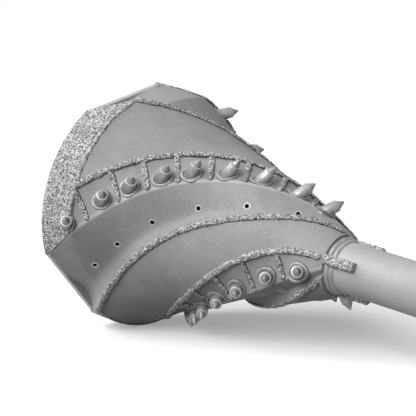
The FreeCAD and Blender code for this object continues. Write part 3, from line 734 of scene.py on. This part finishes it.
tooth_steel = Finish("tooth_steel", metallic=0.4)
wear = tooth_steel.clouds(6.0, 3.0)
# Lighter where the shade attribute is full: the painted highlight and wear at the shank's top.
tooth_steel.paint(tooth_steel.sum(tooth_steel.ramp(wear, 0.3, 0.7, 0.26, 0.38),
                                  tooth_steel.ramp(tooth_steel.shade, 0.0, 1.0, 0.0, 0.22)))
tooth_steel.set(tooth_steel.shader.inputs["Roughness"], tooth_steel.ramp(wear, 0.3, 0.7, 0.44, 0.34))
tooth_steel.bumps(tooth_steel.clouds(0.8, 2.0), 0.05)
carbide = Finish("sintered_carbide", metallic=0.35)
wear = carbide.clouds(4.0, 3.0)
carbide.paint(carbide.ramp(wear, 0.3, 0.7, 0.24, 0.35))
carbide.set(carbide.shader.inputs["Roughness"], carbide.ramp(wear, 0.3, 0.7, 0.42, 0.30))
carbide.bumps(carbide.clouds(0.6, 2.0), 0.05)

for land, letter in enumerate(LANDS):
    frames = row_frames(land, letter)
    nodes = ["tooth_%s_%d" % (letter, number) for number in range(1, len(frames) + 1)]
    shanks = [turned(foot, pointing, shank_profile) for foot, pointing, normal in frames]
    tips = [turned(foot, pointing, tip_profile) for foot, pointing, normal in frames]
    piece("shanks_" + letter, [with_shade(shank, SHANK_SHEEN_AND_WEAR[:, None]) for shank in shanks],
          tooth_steel.material, nodes)
    piece("carbide_tips_" + letter, tips, carbide.material, ["hard_tips_" + letter])

# The weld collars. A bead of weld metal is run by hand round the foot of each tooth, where it leaves
# its socket: a ring with the ripples of its passes, wider in some places than in others.
COLLAR_HALF_WIDTH, COLLAR_HEIGHT, COLLAR_SINK = 2.3, 2.0, 2.0
COLLAR_RIPPLES = 26


def collar(foot, pointing, normal, seed):
    """A low oval ring round a leaning bar, whose own outline on the land is an oval.

    The oval's length is the bar's width divided by the cosine of the lean. Slow waves round the ring
    make its band wider and narrower, and its outer foot is painted dark as shade."""
    cosine = pointing @ normal
    long_way = pointing - cosine * normal
    long_way /= np.linalg.norm(long_way)
    wide_way = np.cross(normal, long_way)
    around = np.linspace(0, 2 * np.pi, 96, endpoint=False)[:, None]
    turn = np.linspace(0, 2 * np.pi, 20, endpoint=False)
    ripple = 1 + 0.05 * np.cos(COLLAR_RIPPLES * around + 0.8 * np.cos(turn))
    uneven = 1 + 0.25 * np.sin(around + seed) + 0.15 * np.sin(3 * around + 2 * seed)
    band = COLLAR_HALF_WIDTH * uneven * (0.85 + ripple * np.cos(turn))
    high = np.where(np.sin(turn) > 0, COLLAR_HEIGHT * ripple, COLLAR_SINK) * np.sin(turn)
    points = (foot + ((SHANK_FOOT / cosine + band) * np.cos(around))[..., None] * long_way
              + ((SHANK_FOOT + band) * np.sin(around))[..., None] * wide_way + high[..., None] * normal)
    relief = 0.4 * noise(points, 3.0, seed) + 0.15 * noise(points, 1.2, seed + 1)
    # The outer foot of the ring is painted dark as shade.
    return with_shade(points + relief[..., None] * normal, (np.cos(turn) > 0.85) * 0.9)


weld_metal = Finish("weld_metal", metallic=0.2)
heat = weld_metal.clouds(7.0, 3.0)
tone = weld_metal.sum(weld_metal.ramp(heat, 0.3, 0.7, 0.29, 0.42),
                      weld_metal.ramp(weld_metal.clouds(1.0, 2.0), 0.3, 0.7, -0.05, 0.05))
# Weld metal falls to a quarter of its tone where the shade attribute is full: painted shade at the collars'
# outer foot.
weld_metal.paint(weld_metal.darkened(tone, 0.25))
weld_metal.set(weld_metal.shader.inputs["Roughness"], weld_metal.ramp(heat, 0.3, 0.7, 0.5, 0.38))
weld_metal.bumps(weld_metal.clouds(1.1, 3.0), 0.18)

for land, letter in enumerate(LANDS):
    frames = enumerate(row_frames(land, letter))
    rings = [collar(*tooth, 200 + 10 * land + number) for number, tooth in frames]
    piece("tooth_welds_" + letter, rings, weld_metal.material, ["weld_collars_" + letter],
          joined_ends=True)

# The nozzles. Six hard inserts are screwed into seats in the floor of each flute. A groove for the
# spanner rings the jet. The seats are cut out of the casting with plain round cutters.
NOZZLE_SHARES = [0.178, 0.268, 0.387, 0.532, 0.682, 0.838]
NOZZLE_COLUMN = 0.45
NOZZLE_RADIUS, JET_RADIUS, NOZZLE_LENGTH = 5.0, 2.4, 10.0
# Along the nozzle's profile, its outer side, the spanner groove and the jet's bore are painted dark as
# shade.
NOZZLE_PAINTED_SHADE = np.array([1, 1, 0, 0, 0.4, 0.4, 0, 0, 1, 1])
nozzle_profile = [(-NOZZLE_LENGTH, NOZZLE_RADIUS), (-0.6, NOZZLE_RADIUS), (-0.2, NOZZLE_RADIUS - 0.35),
                  (-0.2, 4.1), (-0.7, 3.95), (-0.7, 3.6), (-0.2, 3.45), (-0.2, JET_RADIUS + 0.4),
                  (-0.6, JET_RADIUS), (-NOZZLE_LENGTH, JET_RADIUS)]
seat_profile = [(1 - NOZZLE_LENGTH, NOZZLE_RADIUS + 0.05), (-0.7, NOZZLE_RADIUS + 0.05),
                (6.0, NOZZLE_RADIUS + 0.55)]

nozzle_steel = Finish("nozzle_steel", metallic=0.6)
tone = nozzle_steel.ramp(nozzle_steel.clouds(2.0, 2.0), 0.3, 0.7, 0.46, 0.60)
# The insert falls to 6 % of its tone where the shade attribute is full: painted shade in the jet, the
# groove and the seat.
nozzle_steel.paint(nozzle_steel.darkened(tone, 0.06))
nozzle_steel.set(nozzle_steel.shader.inputs["Roughness"], 0.6)


def nozzle_seat(station, land):
    """A place on the flute's floor and the direction square to it, from nearby points of the floor."""
    width = np.radians(SHARE - float(land_angle(station))) * float(land_radius(station))
    nearby = []
    for ahead, aside in ((0, 0), (1, 0), (0, 0.02)):
        here = station + ahead
        depth = flute_floor(np.linspace(0, 1, 400), width, float(flute_depth(here)))
        down = np.interp(NOZZLE_COLUMN + aside, *depth)
        angle = ridge(here, land) + (SHARE - land_angle(here)) * (NOZZLE_COLUMN + aside)
        nearby.append(at(here, land_radius(here) - down, angle))
    pointing = np.cross(nearby[1] - nearby[0], nearby[2] - nearby[0])
    pointing *= np.sign(pointing @ (nearby[0] * [0, 1, 1]))
    return nearby[0], pointing / np.linalg.norm(pointing)


cutters = []
for land, letter in enumerate(LANDS):
    inserts = []
    for share in NOZZLE_SHARES:
        foot, pointing = nozzle_seat(share * CONE_LENGTH, land)
        inserts.append(with_shade(turned(foot, pointing, nozzle_profile, 40), NOZZLE_PAINTED_SHADE[:, None]))
        cutters.append(turned(foot, pointing, seat_profile, 40))
    piece("jets_" + letter, inserts, nozzle_steel.material, ["nozzles_" + letter],
          joined_ends=True)

seat_points, seat_faces = merged(cutters, False)[:2]
seats = plain_mesh("seat_cutters", seat_points, seat_faces)
cut = cone.modifiers.new("seats", "BOOLEAN")
cut.object, cut.operation, cut.solver = seats, "DIFFERENCE", "EXACT"
bpy.context.view_layer.update()
drilled = bpy.data.meshes.new_from_object(cone.evaluated_get(bpy.context.evaluated_depsgraph_get()))
cone.modifiers.clear()
cone.data = drilled
bpy.data.objects.remove(seats)
cone.data.shade_smooth()
cone.data.set_sharp_from_angle(angle=math.radians(50))

# The back plate. It closes the casting's rim: a disc cut from plate, with a straight side across
# each flute, welded round the shaft behind.
PLATE_CHAMFER = 0.7


def plate_ring(station, shrink):
    """The disc's outline: the rim's radius, or less where a straight side is nearer the shaft."""
    half_gap = (SHARE - float(land_angle(0))) / 2
    angle = np.linspace(0, 360, 720, endpoint=False)
    radius = np.full(angle.shape, RIM_RADIUS)
    for land in range(len(LANDS)):
        off = (angle - float(ridge(0, land)) - half_gap + 180) % 360 - 180
        nearest = RIM_RADIUS * math.cos(math.radians(half_gap))
        straight = nearest / np.maximum(np.cos(np.radians(off)), 0.1)
        radius = np.where(np.abs(off) < half_gap, straight, radius)
    return at(station, radius - shrink, angle)


plate_steel = Finish("plate_steel", metallic=0.3)
scale = plate_steel.clouds(14.0, 4.0)
plate_steel.paint(plate_steel.sum(plate_steel.ramp(scale, 0.3, 0.7, 0.40, 0.54),
                                  plate_steel.ramp(plate_steel.clouds(1.2, 2.0), 0.3, 0.7, -0.03, 0.03)))
plate_steel.set(plate_steel.shader.inputs["Roughness"], plate_steel.ramp(scale, 0.3, 0.7, 0.55, 0.42))
plate_steel.bumps(plate_steel.clouds(1.4, 3.0), 0.08)
whole = np.linspace(0, 360, 720, endpoint=False)
rings = [plate_ring(PLATE, PLATE_CHAMFER), plate_ring(PLATE - PLATE_CHAMFER, 0),
         plate_ring(PLATE_CHAMFER, 0), plate_ring(0, PLATE_CHAMFER), at(0.0, SHAFT_RADIUS, whole),
         at(PLATE, SHAFT_RADIUS, whole)]
piece("rear_plate", [np.stack(rings)], plate_steel.material, ["back_plate"],
      joined_ends=True)

# The drive shaft. One thick steel tube runs through the casting, turned smooth outside, bored for
# the fluid and chamfered at both ends.
SHAFT_STUB, SHAFT_CHAMFER, FLUID_BORE = 9.0, 2.6, 16.0
shaft_profile = [(-SHAFT_STUB, FLUID_BORE), (-SHAFT_STUB, SHAFT_RADIUS - SHAFT_CHAMFER),
                 (SHAFT_CHAMFER - SHAFT_STUB, SHAFT_RADIUS)]
shaft_profile += [(station, SHAFT_RADIUS) for station in np.arange(20.0, SHAFT_LENGTH - 10, 20.0)]
shaft_profile += [(SHAFT_LENGTH - SHAFT_CHAMFER, SHAFT_RADIUS),
                  (SHAFT_LENGTH, SHAFT_RADIUS - SHAFT_CHAMFER), (SHAFT_LENGTH, FLUID_BORE)]

turned_steel = Finish("turned_steel", metallic=0.12, specular=0.3)
tarnish = turned_steel.clouds(60.0, 4.0)
marks = turned_steel.clouds(1.2, 2.0, 0.5, turned_steel.stretched((0, 9.4, 0), (1.0, 0.05, 0.05)))
turned_steel.paint(turned_steel.sum(turned_steel.ramp(tarnish, 0.3, 0.7, 0.39, 0.46),
                                    turned_steel.ramp(marks, 0.3, 0.7, -0.02, 0.02)))
turned_steel.set(turned_steel.shader.inputs["Roughness"], turned_steel.ramp(tarnish, 0.3, 0.7, 0.60, 0.50))
turned_steel.bumps(marks, 0.02)
piece("shaft_tube", [turned(np.zeros(3), np.array([1.0, 0, 0]), shaft_profile, 160)],
      turned_steel.material, ["drive_shaft"], joined_ends=True, sharp=30.0)

# The welds round the shaft. Two passes fill the step between the casting's nose and the shaft, and
# one fillet joins the back plate to the shaft's stub.
WELD_RIPPLES = 70
FIRST_PASS, SECOND_PASS = (3.0, 3.8, 3.4, 0.6), (8.6, 3.2, 2.2, 0.0)
NOSE_WELD_END, FILLET, WELD_SINK = 12.0, 7.2, 0.5


def weld_ring(profile, ripple, seed):
    """A ring about the shaft from pairs of station and radius, with the ripples of its passes."""
    steps = 4 * WELD_RIPPLES
    rings = turned(np.zeros(3), np.array([1.0, 0, 0]), profile, steps)
    turn = np.linspace(0, 2 * np.pi, steps, endpoint=False)
    out = rings * [0, 1, 1]
    out /= np.linalg.norm(out, axis=-1, keepdims=True)
    bulge = ripple * np.cos(WELD_RIPPLES * turn + 1.5 * np.sin(3 * turn)) + 0.35 * noise(rings, 6.0, seed)
    return rings + (bulge * (np.linalg.norm(rings[..., 1:], axis=-1) > SHAFT_RADIUS + 0.2))[..., None] * out


def weld_pass(middle, half_length, height, foot):
    """The profile of a round bead in front of the nose: half an oval on a foot above the shaft."""
    return [(CONE_LENGTH + middle - half_length * math.cos(t), SHAFT_RADIUS + foot + height * math.sin(t))
            for t in np.linspace(0.1, math.pi - 0.1, 9)]


nose_profile = [(CONE_LENGTH - 1.0, SHAFT_RADIUS - WELD_SINK), *weld_pass(*FIRST_PASS),
                *weld_pass(*SECOND_PASS)[1:], (CONE_LENGTH + NOSE_WELD_END, SHAFT_RADIUS - WELD_SINK)]
back_profile = [(FILLET * (math.sin(t) - 1), SHAFT_RADIUS + FILLET * (1 - math.cos(t)))
                for t in np.linspace(0, math.pi / 2, 9)]
back_profile = [(-FILLET - 0.2, SHAFT_RADIUS - WELD_SINK), *back_profile, (0.3, SHAFT_RADIUS - WELD_SINK)]
piece("nose_welds", [weld_ring(nose_profile, 0.14, 301)], weld_metal.material, ["nose_weld"],
      joined_ends=True)
piece("back_fillet", [weld_ring(back_profile, 0.18, 302)], weld_metal.material, ["back_weld"],
      joined_ends=True)

bpy.context.scene.view_settings.view_transform = "Standard"
